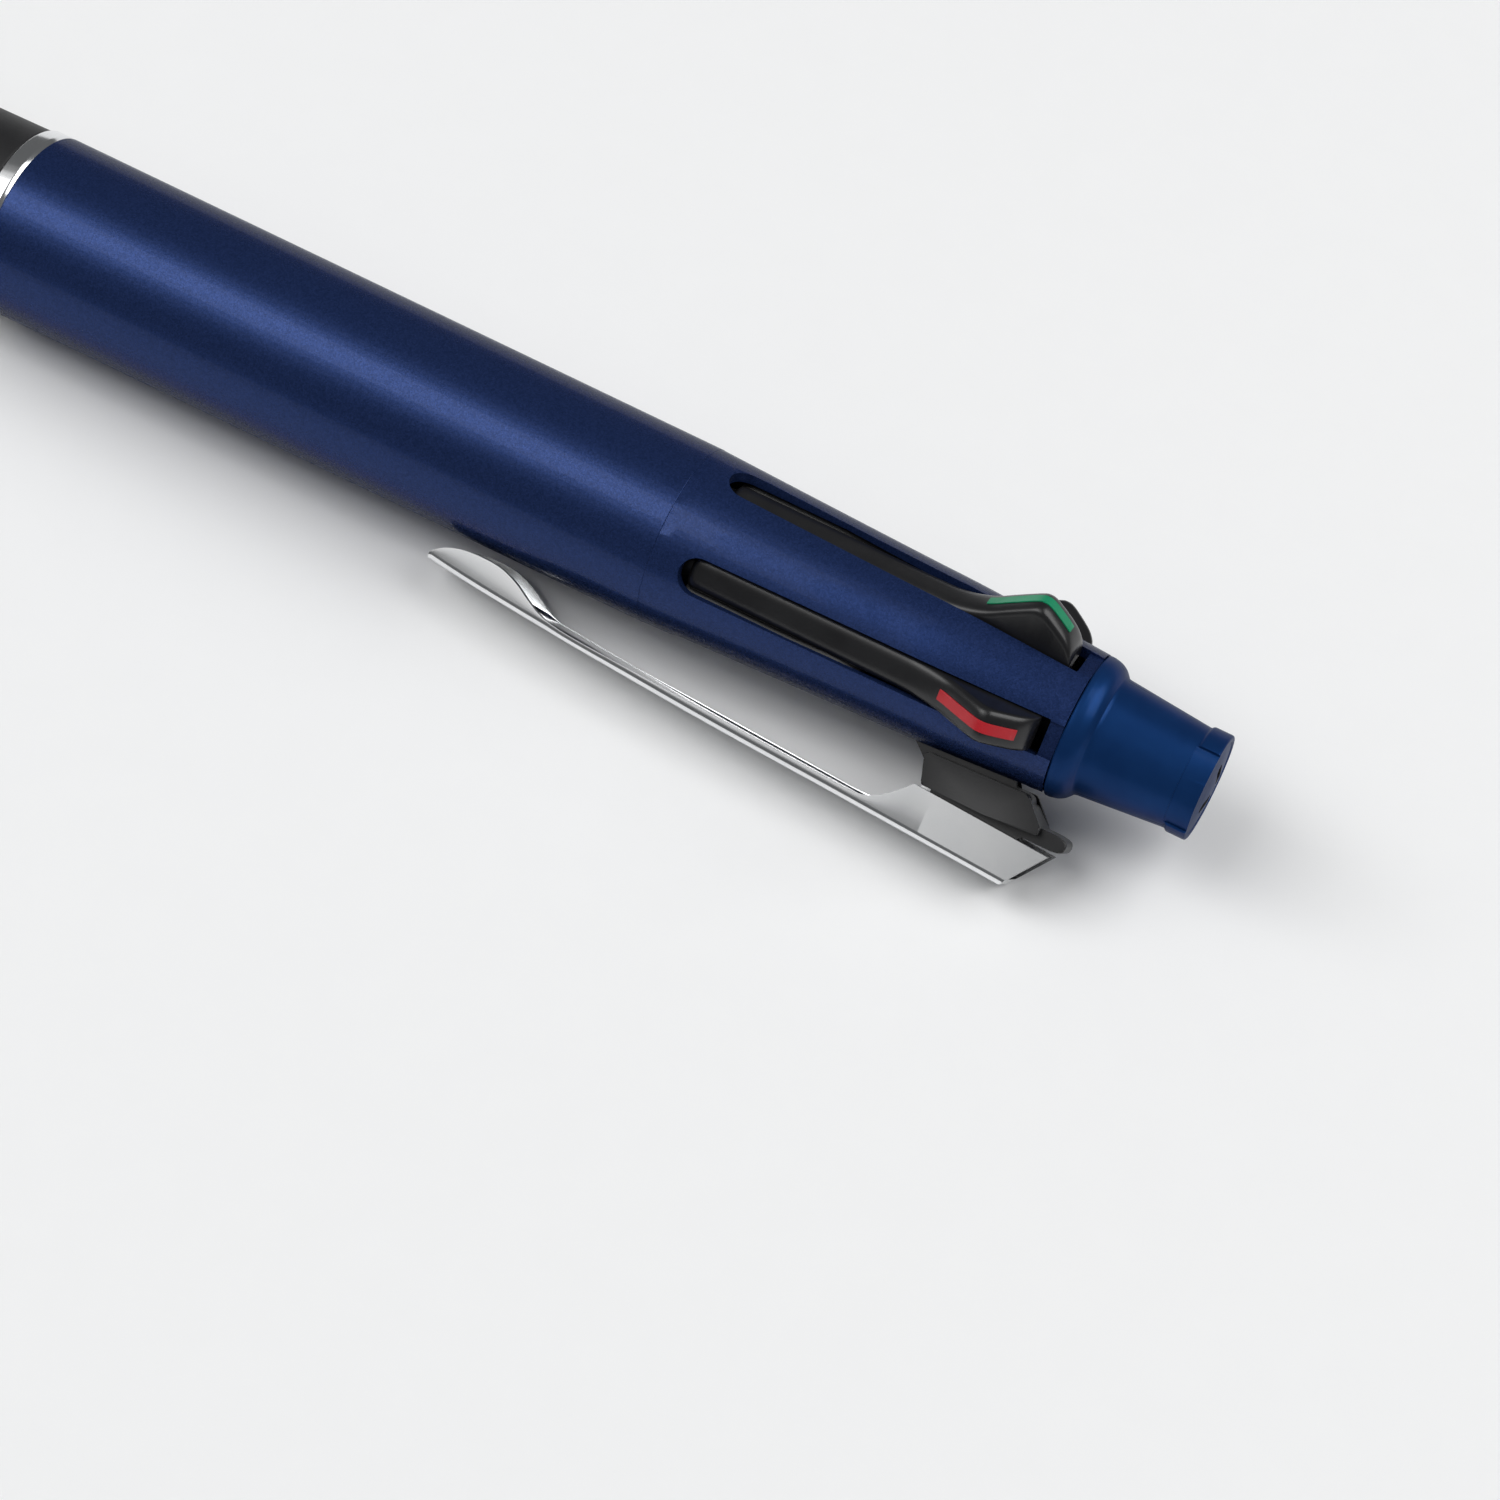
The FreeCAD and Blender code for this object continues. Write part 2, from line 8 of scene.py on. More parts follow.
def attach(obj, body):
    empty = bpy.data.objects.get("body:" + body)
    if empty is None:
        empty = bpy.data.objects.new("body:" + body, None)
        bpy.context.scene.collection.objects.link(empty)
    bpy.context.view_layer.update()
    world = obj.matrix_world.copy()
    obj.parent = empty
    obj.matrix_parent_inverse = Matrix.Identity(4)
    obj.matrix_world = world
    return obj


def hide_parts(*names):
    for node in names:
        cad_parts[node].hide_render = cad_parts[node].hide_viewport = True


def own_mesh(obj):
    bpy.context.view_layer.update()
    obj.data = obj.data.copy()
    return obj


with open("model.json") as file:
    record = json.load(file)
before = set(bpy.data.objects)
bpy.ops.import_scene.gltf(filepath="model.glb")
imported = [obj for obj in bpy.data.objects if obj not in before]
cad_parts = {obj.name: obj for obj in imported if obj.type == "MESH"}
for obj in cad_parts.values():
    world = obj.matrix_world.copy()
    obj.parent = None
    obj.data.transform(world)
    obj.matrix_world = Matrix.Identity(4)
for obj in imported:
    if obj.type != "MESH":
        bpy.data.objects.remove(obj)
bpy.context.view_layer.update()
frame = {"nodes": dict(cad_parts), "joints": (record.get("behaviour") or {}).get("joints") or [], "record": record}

MM = 0.001
SLOT_STEP = math.radians(72)
INK_COLOURS = ("red", "green", "blue", "black")
PEN_LENGTH = 149.8
CAP_FACE_DEPTH = 0.25
REFILL_OFFSET = 3.3
BORE, BORE_TAPER_START, BORE_TAPER = 5.72, 120.0, 0.065


# ---------------------------------------------------------------- the pen's own frame
def pen_frame():
    """Matrix from pen millimetres (x from the writing tip, z toward the clip) to the row frame."""
    joints = {joint["name"]: joint for joint in frame["joints"]}
    mounts = {mount["name"]: mount for mount in frame["record"]["mounts"]}
    along = Vector(joints["cap_pull"]["axis"]).normalized()
    across = Vector(joints["clip_open"]["axis"]).normalized()
    outward = along.cross(across)
    face = Vector(mounts["cap_end"]["pos_m"])
    origin = face - along * (PEN_LENGTH - CAP_FACE_DEPTH) * MM
    turn = Matrix((along, across, outward)).transposed().to_4x4()
    return Matrix.Translation(origin) @ turn


PEN = pen_frame()
PEN_MM = PEN @ Matrix.Scale(MM, 4)


# ---------------------------------------------------------------- shape helpers
def eased(points, radius, steps=4, closed=True):
    """Round the corners of an outline; each corner becomes a short curve."""
    result = []
    count = len(points)
    for i, here in enumerate(points):
        here = Vector(here)
        if not closed and i in (0, count - 1):
            result.append(here)
            continue
        before, after = Vector(points[i - 1]), Vector(points[(i + 1) % count])
        reach = min(radius, 0.45 * (before - here).length, 0.45 * (after - here).length)
        start = here + (before - here).normalized() * reach
        end = here + (after - here).normalized() * reach
        for k in range(steps + 1):
            t = k / steps
            result.append(start * (1 - t) ** 2 + here * 2 * t * (1 - t) + end * t * t)
    return result


def flowing(points, steps=8):
    """Smooth curve through points (Catmull-Rom)."""
    known = [Vector(p) for p in points]
    ends = [known[0] * 2 - known[1]] + known + [known[-1] * 2 - known[-2]]
    result = []
    for a, b, c, d in zip(ends, ends[1:], ends[2:], ends[3:]):
        for k in range(steps):
            t = k / steps
            result.append(((b * 2) + (c - a) * t + (a * 2 - b * 5 + c * 4 - d) * t * t
                           + (b * 3 - a - c * 3 + d) * t ** 3) * 0.5)
    result.append(known[-1])
    return result


def height_at(curve, station):
    """Second coordinate of a curve at a station."""
    if station <= curve[0][0]:
        return curve[0][1]
    for near, far in zip(curve, curve[1:]):
        if near[0] <= station <= far[0]:
            share = (station - near[0]) / max(far[0] - near[0], 1e-9)
            return near[1] + (far[1] - near[1]) * share
    return curve[-1][1]


def add_piece(name, bm, body, material, slot_name, slot=0, lift=0.0, crease=35):
    """Turn a pen-frame mesh into a shaded object that rides a body."""
    bmesh.ops.recalc_face_normals(bm, faces=bm.faces)
    mesh = bpy.data.meshes.new(name)
    bm.to_mesh(mesh)
    bm.free()
    turn = Matrix.Rotation(-SLOT_STEP * slot, 4, "X")
    mesh.transform(PEN_MM @ turn @ Matrix.Translation((0, 0, lift)))
    piece = bpy.data.objects.new(name, mesh)
    bpy.context.scene.collection.objects.link(piece)
    mesh.materials.append(material)
    shade(mesh, crease)
    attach(piece, body)
    return piece


def shade(mesh, crease):
    mesh.shade_smooth()
    mesh.set_sharp_from_angle(angle=math.radians(crease))


def even_normals(piece):
    modifier = piece.modifiers.new("even", "WEIGHTED_NORMAL")
    modifier.keep_sharp = True
    modifier.weight = 80


def turned(outline, segments=160):
    """Closed solid turned round the pen's axis from (station, radius) points."""
    bm = bmesh.new()
    rings = []
    for x, r in outline:
        ring = []
        for k in range(segments):
            a = 2 * math.pi * k / segments
            ring.append(bm.verts.new((x, r * math.sin(a), r * math.cos(a))))
        rings.append(ring)
    for ring, after in zip(rings, rings[1:] + rings[:1]):
        for k in range(segments):
            n = (k + 1) % segments
            bm.faces.new((ring[k], ring[n], after[n], after[k]))
    bmesh.ops.remove_doubles(bm, verts=bm.verts, dist=0.0005)
    return bm


def plate(outline, width, edge, segments=4, middle=0.0):
    """Side profile of (station, radius) points given a width, with its rims rounded."""
    bm = bmesh.new()
    near = [bm.verts.new((x, middle + width / 2, r)) for x, r in outline]
    far = [bm.verts.new((x, middle - width / 2, r)) for x, r in outline]
    front = bm.faces.new(near)
    back = bm.faces.new(list(reversed(far)))
    count = len(outline)
    for i in range(count):
        n = (i + 1) % count
        bm.faces.new((near[i], far[i], far[n], near[n]))
    if edge:
        rims = list(front.edges) + list(back.edges)
        bmesh.ops.bevel(bm, geom=rims, offset=edge, segments=segments, profile=0.5,
                        affect="EDGES", clamp_overlap=True)
    return bm


def skin(loops):
    """Closed surface through equal loops of points."""
    bm = bmesh.new()
    rows = [[bm.verts.new(p) for p in loop] for loop in loops]
    count = len(rows[0])
    for row, after in zip(rows, rows[1:]):
        for i in range(count):
            n = (i + 1) % count
            bm.faces.new((row[i], row[n], after[n], after[i]))
    bm.faces.new(list(reversed(rows[0])))
    bm.faces.new(rows[-1])
    return bm


def carve(piece, cutter_bm, edge, limit=40, wall_shade_material=None):
    """Cut a shape out of a piece, round the new edges and keep the result as its mesh. The cut walls take the
    piece's own material unless another is given; the cap's vents get a near-black one as painted shade.
    """
    bmesh.ops.recalc_face_normals(cutter_bm, faces=cutter_bm.faces)
    mesh = bpy.data.meshes.new("cutter")
    cutter_bm.to_mesh(mesh)
    cutter_bm.free()
    mesh.transform(PEN_MM)
    mesh.materials.append(wall_shade_material or piece.data.materials[0])
    cutter = bpy.data.objects.new("cutter", mesh)
    bpy.context.scene.collection.objects.link(cutter)
    cut = piece.modifiers.new("cut", "BOOLEAN")
    cut.object = cutter
    cut.solver = "EXACT"
    cut.material_mode = "TRANSFER"
    cut.operation = "DIFFERENCE"
    if edge:
        rounding = piece.modifiers.new("edge", "BEVEL")
        rounding.width = edge * MM
        rounding.segments = 3
        rounding.limit_method = "ANGLE"
        rounding.angle_limit = math.radians(limit)
    bpy.context.view_layer.update()
    result = bpy.data.meshes.new_from_object(
        piece.evaluated_get(bpy.context.evaluated_depsgraph_get()))
    piece.modifiers.clear()
    piece.data = result
    bpy.data.objects.remove(cutter)
    shade(result, 35)


# ---------------------------------------------------------------- materials
def new_material(name):
    material = bpy.data.materials.new(name)
    material.use_nodes = True
    tree = material.node_tree
    return material, tree, tree.nodes["Principled BSDF"]


def noise(tree, scale, detail=3.0, roughness=0.5):
    place = tree.nodes.new("ShaderNodeTexCoord")
    texture = tree.nodes.new("ShaderNodeTexNoise")
    texture.inputs["Scale"].default_value = scale
    texture.inputs["Detail"].default_value = detail
    texture.inputs["Roughness"].default_value = roughness
    tree.links.new(place.outputs["Object"], texture.inputs["Vector"])
    return texture


def ramp(tree, source, low, high, start=0.35, end=0.65):
    """Spread a texture between two colours."""
    node = tree.nodes.new("ShaderNodeValToRGB")
    node.color_ramp.elements[0].position = start
    node.color_ramp.elements[1].position = end
    node.color_ramp.elements[0].color = (*low, 1)
    node.color_ramp.elements[1].color = (*high, 1)
    tree.links.new(source, node.inputs["Fac"])
    return node.outputs["Color"]


def spread(tree, source, low, high):
    """Map a texture to a range of numbers."""
    node = tree.nodes.new("ShaderNodeMapRange")
    node.inputs["To Min"].default_value = low
    node.inputs["To Max"].default_value = high
    tree.links.new(source, node.inputs["Value"])
    return node.outputs["Result"]


def bump(tree, shader, source, strength, distance):
    node = tree.nodes.new("ShaderNodeBump")
    node.inputs["Strength"].default_value = strength
    node.inputs["Distance"].default_value = distance
    tree.links.new(source, node.inputs["Height"])
    tree.links.new(node.outputs["Normal"], shader.inputs["Normal"])


def moulded(name, low, high, rough, coat=0.0, metallic=0.0, grain=2500, relief=0.15,
            depth=0.00001, coat_rough=0.04, subsurface=0.0, specular=0.5, tint=(1, 1, 1)):
    """Moulded or coated surface: slight colour drift, gloss drift and a fine skin."""
    material, tree, shader = new_material(name)
    drift = noise(tree, 260)
    fine = noise(tree, grain, 2)
    tree.links.new(ramp(tree, drift.outputs["Fac"], low, high), shader.inputs["Base Color"])
    tree.links.new(spread(tree, fine.outputs["Fac"], rough * 0.85, rough * 1.15),
                   shader.inputs["Roughness"])
    shader.inputs["Metallic"].default_value = metallic
    shader.inputs["Coat Weight"].default_value = coat
    shader.inputs["Coat Roughness"].default_value = coat_rough
    shader.inputs["Specular IOR Level"].default_value = specular
    shader.inputs["Specular Tint"].default_value = (*tint, 1)
    if subsurface:
        shader.inputs["Subsurface Weight"].default_value = subsurface
        shader.inputs["Subsurface Scale"].default_value = 0.0006
    bump(tree, shader, fine.outputs["Fac"], relief, depth)
    return material


def pearl(name, deep, bright, metallic, rough):
    """Navy pearl under clear coat: flakes tilt and tint the layer below the coat."""
    material, tree, shader = new_material(name)
    place = tree.nodes.new("ShaderNodeTexCoord")
    flakes = tree.nodes.new("ShaderNodeTexVoronoi")
    flakes.inputs["Scale"].default_value = 11000
    tree.links.new(place.outputs["Object"], flakes.inputs["Vector"])
    split = tree.nodes.new("ShaderNodeSeparateColor")
    tree.links.new(flakes.outputs["Color"], split.inputs["Color"])
    tree.links.new(ramp(tree, split.outputs["Red"], deep, bright, 0.1, 0.95),
                   shader.inputs["Base Color"])
    tree.links.new(spread(tree, split.outputs["Green"], rough * 0.85, rough * 1.15),
                   shader.inputs["Roughness"])
    bump(tree, shader, split.outputs["Blue"], 0.12, 0.000008)
    shader.inputs["Metallic"].default_value = metallic
    shader.inputs["Specular Tint"].default_value = (0.04, 0.06, 0.13, 1)
    shader.inputs["Specular IOR Level"].default_value = 0.3
    shader.inputs["Coat Weight"].default_value = 0.13
    shader.inputs["Coat Roughness"].default_value = 0.04
    return material


MATERIALS = {
    "navy_pearl": pearl("navy_pearl", (0.013, 0.028, 0.096), (0.023, 0.044, 0.142), 0.6, 0.3),
    "navy_cap": moulded("navy_cap", (0.006, 0.031, 0.118), (0.008, 0.039, 0.142), 0.38, coat=0.05,
                        metallic=0.5, coat_rough=0.15, specular=0.2, tint=(0.05, 0.09, 0.2)),
    "lever_black": moulded("lever_black", (0.007, 0.007, 0.008), (0.012, 0.012, 0.013), 0.3,
                           grain=6000, relief=0.25),
    "grip_rubber": moulded("grip_rubber", (0.006, 0.006, 0.007), (0.011, 0.011, 0.012), 0.55,
                           grain=9000, relief=0.5, depth=0.00002),
    "chrome": moulded("chrome", (0.84, 0.85, 0.86), (0.88, 0.885, 0.89), 0.15, metallic=1.0,
                      grain=1500, relief=0.02),
    "plated_metal": moulded("plated_metal", (0.6, 0.61, 0.63), (0.68, 0.69, 0.7), 0.24,
                            metallic=1.0, grain=5000, relief=0.08),
    # Near-black inner parts are painted shade: the insides seen through the slots and vents are coloured as the
    # dark inside of the pen.
    "inner_plastic": moulded("inner_plastic", (0.012, 0.012, 0.013), (0.018, 0.018, 0.02), 0.5),
    "eraser_white": moulded("eraser_white", (0.78, 0.77, 0.74), (0.84, 0.83, 0.8), 0.8,
                            grain=7000, relief=0.5, depth=0.00003, subsurface=0.2),
    "tube_plastic": moulded("tube_plastic", (0.66, 0.68, 0.67), (0.74, 0.76, 0.75), 0.35,
                            subsurface=0.4),
    "spring_steel": moulded("spring_steel", (0.42, 0.42, 0.44), (0.52, 0.52, 0.54), 0.28,
                            metallic=1.0, grain=9000),
    "graphite": moulded("graphite", (0.03, 0.03, 0.033), (0.05, 0.05, 0.054), 0.4,
                        metallic=0.4, grain=9000),
    "inlay_red": moulded("inlay_red", (0.42, 0.012, 0.02), (0.5, 0.018, 0.028), 0.35,
                         grain=6000, subsurface=0.1),
    "inlay_green": moulded("inlay_green", (0.004, 0.2, 0.09), (0.006, 0.26, 0.12), 0.35,
                           grain=6000, subsurface=0.1),
    "inlay_blue": moulded("inlay_blue", (0.008, 0.05, 0.38), (0.012, 0.07, 0.48), 0.35,
                          grain=6000, subsurface=0.1),
    "inlay_black": moulded("inlay_black", (0.014, 0.014, 0.016), (0.022, 0.022, 0.024), 0.4,
                           grain=6000),
}


def finish_cad_nodes():
    """Every carried-over CAD node gets its slot's material."""
    for part in frame["record"]["subparts"]:
        node = frame["nodes"][part["node"]]
        node.data.materials.clear()
        node.data.materials.append(MATERIALS[part["material_slot"]])


def make(name, bm, body, slot_name, node, slot=0, **how):
    """Piece with its slot's material that stands for one CAD node."""
    piece = add_piece(name, bm, body, MATERIALS[slot_name], slot_name, slot, **how)
    if node:
        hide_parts(node)
    return piece


# ---------------------------------------------------------------- front section
def nose_curve(wall=0.0):
    """Ogive of the tip cone."""
    length, tip_radius, full_radius, power = 19.0, 1.6, 6.0, 2.2
    shares = [k / 40 for k in range(41)]
    return [(length * share,
             tip_radius + (full_radius - tip_radius) * (1 - (1 - share) ** power) - wall)
            for share in shares]


def build_front():
    outer = nose_curve()
    inner = [(x, max(r, 1.25)) for x, r in reversed(nose_curve(0.9)) if 0 < x < 13.5]
    outline = [(0.0, 1.25), (0.0, 1.5), (0.08, 1.62)] + outer[2:]
    outline += [(19.0, 5.35), (25.0, 5.35), (25.0, 4.85), (14.0, 4.85)] + inner
    cone = make("nose_cone", turned(outline), "front", "plated_metal", "tip_cone")
    even_normals(cone)
    grip = eased([(19.2, 5.95), (19.2, 6.1), (21.5, 6.3), (38.0, 6.45), (54.65, 6.68),
                  (54.65, 5.95)], 0.3, 6)
    even_normals(make("grip", turned(grip), "front", "grip_rubber", "rubber_grip"))
    ring = eased([(54.7, 5.93), (54.7, 6.85), (55.75, 6.85), (56.1, 6.68), (56.1, 5.93)], 0.09)
    even_normals(make("ring", turned(ring), "front", "chrome", "joint_ring"))


# ---------------------------------------------------------------- barrels
def build_main_barrel():
    outline = eased([(56.15, 5.98), (56.15, 6.85), (109.3, 6.6), (109.3, 6.1), (103.15, 6.1),
                     (103.15, BORE), (64.0, BORE), (64.0, 5.98)], 0.035, 3)
    even_normals(make("barrel", turned(outline, 224), "barrel", "navy_pearl", "main_barrel"))


def slot_cutter(stepped, count=5):
    """All the slots as one cutter, round in front, or the shallow steps behind them."""
    half, front, rear, outside = 1.4, 111.5, 138.8, 8.0
    bm = bmesh.new()
    arc = [(front + half - half * math.cos(a), half * math.sin(a))
           for a in [math.pi * (k / 20 - 0.5) for k in range(21)]]
    slot = [(rear, -half)] + arc + [(rear, half)]
    step = [(rear - 0.5, -1.3), (140.2, -1.3), (140.2, 1.3), (rear - 0.5, 1.3)]
    outline, low = (step, 4.95) if stepped else (slot, 2.2)
    for k in range(count):
        turn = Matrix.Rotation(-SLOT_STEP * k, 4, "X")
        lower = [bm.verts.new(turn @ Vector((x, y, low))) for x, y in outline]
        upper = [bm.verts.new(turn @ Vector((x, y, outside))) for x, y in outline]
        bm.faces.new(lower)
        bm.faces.new(list(reversed(upper)))
        for i in range(len(outline)):
            n = (i + 1) % len(outline)
            bm.faces.new((lower[i], upper[i], upper[n], lower[n]))
    return bm


def build_slotted_barrel():
    outer = flowing([(109.31, 6.58), (117.3, 6.27), (125.3, 5.98), (131.1, 5.785), (139.8, 5.25)])
    outline = [(103.2, BORE), (103.2, 6.08), (109.3, 6.08)] + [tuple(p) for p in outer]
    outline += [(139.8, 2.6), (138.8, 2.6), (138.8, 4.5), (BORE_TAPER_START, BORE)]
    piece = make("upper_barrel", turned(outline, 224), "barrel", "navy_pearl", "slotted_barrel")
    carve(piece, slot_cutter(False), 0)
    carve(piece, slot_cutter(True), 0.14)
    even_normals(piece)


# ---------------------------------------------------------------- end cap
def vent_cutter():
    """Two short vents that lean toward each other."""
    half_run, half_width, offset, shift, floor, outside = 0.9, 0.42, 1.1, 0.1, 148.85, 150.5
    bm = bmesh.new()
    for side in (1, -1):
        centre = Vector((0, shift, offset * side))
        along = Vector((0, -0.85, -0.53 * side)) * half_run
        across = Vector((0, -0.53 * side, 0.85)) * half_width
        corners = [centre + along * a + across * b
                   for a, b in ((-1, -0.5), (-0.8, -1), (0.8, -1), (1, -0.5), (1, 0.5),
                                (0.8, 1), (-0.8, 1), (-1, 0.5))]
        low = [bm.verts.new(p + Vector((floor, 0, 0))) for p in corners]
        high = [bm.verts.new(p + Vector((outside, 0, 0))) for p in corners]
        bm.faces.new(low)
        bm.faces.new(list(reversed(high)))
        for i in range(len(corners)):
            n = (i + 1) % len(corners)
            bm.faces.new((low[i], high[i], high[n], low[n]))
    return bm


def rim_gap_cutter():
    """Long gap in the raised rim of the cap, on the side between clip and green lever."""
    corners = ((148.1, 3.7), (148.1, 4.6), (150.4, 4.6), (150.4, 3.7))
    first, span, steps = 29, 99, 24
    loops = []
    for k in range(steps + 1):
        a = math.radians(first + span * k / steps)
        loops.append([(x, r * math.sin(a), r * math.cos(a)) for x, r in corners])
    return skin(loops)


def build_cap():
    shoulder = flowing([(140.2, 5.22), (140.75, 5.1), (141.2, 4.86), (141.5, 4.56),
                        (141.66, 4.38), (141.9, 4.31)], 5)
    outline = [(139.85, 3.55), (139.85, 5.12), (139.95, 5.22)] + [tuple(p) for p in shoulder]
    rim = eased([(141.9, 4.31), (148.2, 3.73), (148.35, 3.9), (149.8, 3.9), (149.8, 3.5),
                 (149.72, 3.4), (149.82, 2.6), (149.91, 1.7), (149.97, 0.8),
                 (149.98, 0.02)], 0.2, 5, closed=False)
    outline += [tuple(p) for p in rim[1:]]
    outline += [(148.75, 0.02), (148.75, 2.95), (144.2, 2.95), (144.2, 3.55)]
    piece = make("cap", turned(outline, 144), "cap", "navy_cap", "end_cap")
    carve(piece, rim_gap_cutter(), 0)
    # The vent walls take the near-black inner material: painted shade in the vents.
    carve(piece, vent_cutter(), 0.03, 50, MATERIALS["inner_plastic"])
    even_normals(piece)


# ---------------------------------------------------------------- levers
STEM_TOP = 5.6
LEVER_TOP = flowing([(112.5, STEM_TOP), (120.0, STEM_TOP), (127.2, STEM_TOP), (129.4, 5.72),
                     (131.3, 6.28), (133.0, 7.33), (134.5, 8.26), (135.05, 8.42), (135.6, 8.27),
                     (136.6, 7.6), (137.4, 6.95), (137.9, 6.3), (138.1, 5.75), (138.15, 5.45)], 5)


def lifted(curve, start, end, lift):
    """Stretch of a curve between two stations, moved off it along its normals."""
    result = []
    for before, here, after in zip(curve, curve[1:], curve[2:]):
        if start <= here[0] <= end:
            along = (after - before).normalized()
            result.append((here[0] - along[1] * lift, here[1] + along[0] * lift))
    return result


def lever_section(x, top, swell=1.0):
    """Cross-section of a lever: rounded top, body in the slot, flanges under the barrel wall."""
    half, low, crown, squareness = 1.27, 2.6, 0.75, 0.7
    rear_step, rear_low = 137.5, 4.6
    flange_low, flange_reach, flange_end, flange_taper, clearance = 3.6, 0.6, 126.0, 2.5, 0.14
    bore = BORE - BORE_TAPER * max(0.0, x - BORE_TAPER_START)
    flange = half + flange_reach * min(1.0, max(0.0, (flange_end - x) / flange_taper))
    flange_high = math.sqrt((bore - clearance) ** 2 - flange ** 2)
    floor_height = low if x < rear_step else rear_low
    dome = []
    for k in range(19):
        a = math.pi * k / 18
        side = math.copysign(abs(math.cos(a)) ** squareness, math.cos(a))
        dome.append((half * side, top - crown + crown * math.sin(a) ** squareness))
    left = [(-half, min(flange_high + 0.08, top - crown - 0.03)), (-flange, flange_high),
            (-flange, flange_low + 0.25), (-half, flange_low), (-half, low)]
    right = [(-y, z) for y, z in reversed(left)]
    middle = (top + low) / 2
    return [(x, y * swell, middle + (max(z, floor_height) - middle) * swell)
            for y, z in dome + left + right]


def lever_loops(top_curve, end):
    """Sections of a lever from its rounded front to its rear."""
    front = [lever_section(x, STEM_TOP, swell)
             for x, swell in ((112.0, 0.8), (112.08, 0.9), (112.25, 0.97))]
    return front + [lever_section(p[0], p[1]) for p in top_curve if p[0] <= end]


def build_lever(number, colour):
    body = "lever_" + colour
    piece = make("thumb_lever_" + colour, skin(lever_loops(LEVER_TOP, 138.2)), body,
                 "lever_black", "lever_" + colour, number, crease=50)
    even_normals(piece)
    front, rear, proud, sunk, width, edge = 131.1, 137.3, 0.07, 0.5, 0.78, 0.1
    band = lifted(LEVER_TOP, front, rear, proud) + list(
        reversed(lifted(LEVER_TOP, front, rear, -sunk)))
    make("inlay_strip_" + colour, plate(band, width, edge, 3), body, "inlay_" + colour,
         "inlay_" + colour, number)
    build_socket("socket_" + colour, body, number)


def build_socket(name, body, slot):
    """Tube that holds the refill's rear end."""
    outline = eased([(104.0, 1.62), (104.0, 1.86), (114.5, 1.86), (114.5, 1.62)], 0.08)
    make(name, turned(outline, 48), body, "lever_black", None, slot,
         lift=REFILL_OFFSET)


# ---------------------------------------------------------------- clip
CLIP_OUTER = flowing([(93.0, 9.0), (104.0, 9.97), (116.0, 10.8), (128.0, 11.4), (139.9, 12.0),
                      (145.5, 12.28)], 12)
CLIP_EDGE = flowing([(93.6, 8.55), (94.0, 8.2), (94.8, 7.75), (96.0, 7.42), (97.4, 7.3),
                     (99.0, 7.4), (100.4, 7.85), (101.7, 8.55), (102.9, 9.12), (104.2, 9.42),
                     (107.0, 9.66), (116.0, 10.05), (125.0, 10.5), (127.6, 10.62),
                     (129.0, 10.48), (130.2, 9.85), (131.1, 9.05), (131.8, 8.3)], 8)
CLIP_EDGE += [Vector((132.0, 8.31)), Vector((142.2, 8.85)), Vector((146.0, 9.05))]


def clip_section(x):
    """U section of the clip at a station, its mouth toward the barrel."""
    top = height_at(CLIP_OUTER, x)
    nose_start, nose_run, full_half, nose_narrowing = 98.5, 4.9, 2.4, 0.75
    nose = max(0.0, min(1.0, (nose_start - x) / nose_run))
    half = full_half - nose_narrowing * nose ** 2.2
    low = min(height_at(CLIP_EDGE, x), top - 0.5)
    wall, corner = 0.6, min(0.55, (top - low) * 0.9)
    inner_top = top - wall
    inner_low = min(low, inner_top - 0.02)
    inner_corner = min(0.25, max(inner_top - inner_low, 0.02) * 0.8)
    turn = [math.pi / 2 * k / 6 for k in range(7)]
    outer_side = [(half, low)] + [(half - corner + corner * math.cos(a),
                                   top - corner + corner * math.sin(a)) for a in turn]
    gap = half - wall
    inner_side = [(gap, min(low, inner_top - inner_corner - 0.005))] + [
        (gap - inner_corner + inner_corner * math.cos(a),
         inner_top - inner_corner + inner_corner * math.sin(a)) for a in turn]
    outer = outer_side + [(-y, z) for y, z in reversed(outer_side)]
    inner = inner_side + [(-y, z) for y, z in reversed(inner_side)]
    return [(x, y, z) for y, z in outer + list(reversed(inner))]


def build_clip():
    """Chrome clip, with sections close together where its contour bends."""
    fine = [93.6 + 0.16 * k for k in range(75)]
    coarse = [106.0 + 1.0 * k for k in range(20)]
    rear = [126.0 + 0.16 * k for k in range(48)]
    back = [134.0, 137.0, 140.0, 143.0, 145.0]
    bm = skin([clip_section(x) for x in fine + coarse + rear + back])
    heel, toe = Vector((139.9, 0, 12.0)), Vector((142.2, 0, 8.85))
    cut_line = toe - heel
    bmesh.ops.bisect_plane(bm, geom=bm.verts[:] + bm.edges[:] + bm.faces[:], plane_co=heel,
                           plane_no=(-cut_line.z, 0, cut_line.x), clear_outer=True)
    rim = [edge for edge in bm.edges if edge.is_boundary]
    bmesh.ops.contextual_create(bm, geom=rim)
    piece = make("clip_stamping", bm, "clip", "chrome", "clip", crease=30)
    rounding = piece.modifiers.new("edge", "BEVEL")
    rounding.width = 0.09 * MM
    rounding.segments = 3
    rounding.limit_method = "ANGLE"
    rounding.angle_limit = math.radians(50)
    even_normals(piece)


